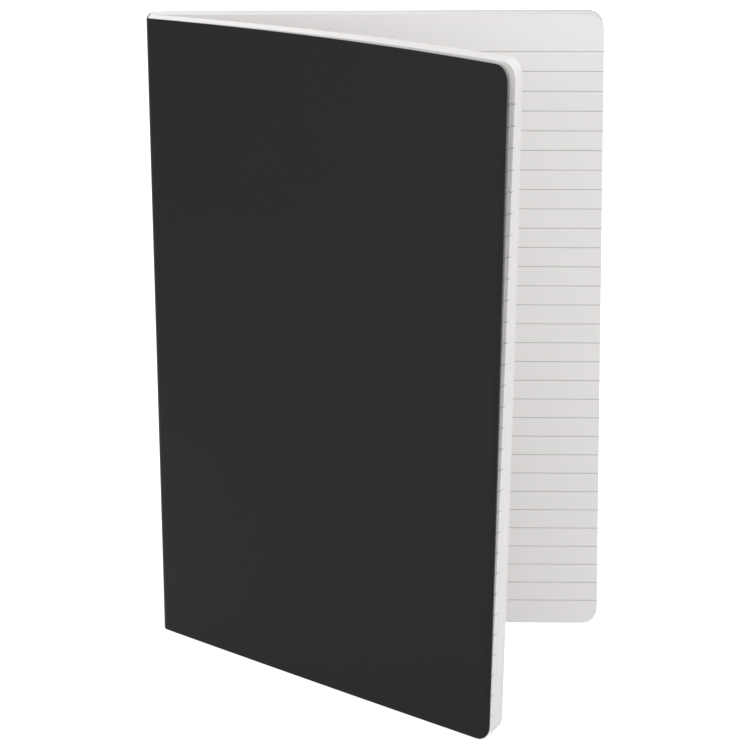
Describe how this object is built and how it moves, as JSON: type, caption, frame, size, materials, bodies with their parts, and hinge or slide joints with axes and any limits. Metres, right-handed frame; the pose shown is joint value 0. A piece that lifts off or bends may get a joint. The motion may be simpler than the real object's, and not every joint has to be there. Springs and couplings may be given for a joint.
{
  "type": "notebook",
  "caption": "Softcover ruled notebook with rounded fore-edge corners, standing on its tail edge and opened in a V; both covers swing on their folds.",
  "frame": {"origin": "middle of the footprint, on the surface that the tail edge stands on", "axes": "+X along the back half from the spine to the fore-edge, +Y away from the reader, +Z from tail to head"},
  "size_m": [0.148, 0.1124, 0.21],
  "materials": {
    "cover_card": "matt black laminate on card",
    "ruled_paper": "uncoated off-white paper with fine grey rules",
    "hot_melt_glue": "clear amber hot-melt film"
  },
  "bodies": {
    "book_block": {"text_block": "ruled_paper", "cover_spine": "cover_card", "spine_glue": "hot_melt_glue"},
    "front_flap": {"front_cover": "cover_card"},
    "back_flap": {"back_cover": "cover_card"}
  },
  "joints": [
    {"name": "front_fold", "type": "hinge", "parent": "book_block", "child": "front_flap", "pos_m": [-0.074, 0.04214, 0], "axis": [0, 0, -1], "range_deg": [0, 150]},
    {"name": "back_fold", "type": "hinge", "parent": "book_block", "child": "back_flap", "pos_m": [-0.0694, 0.05615, 0], "axis": [0, 0, 1], "range_deg": [0, 150]}
  ]
}
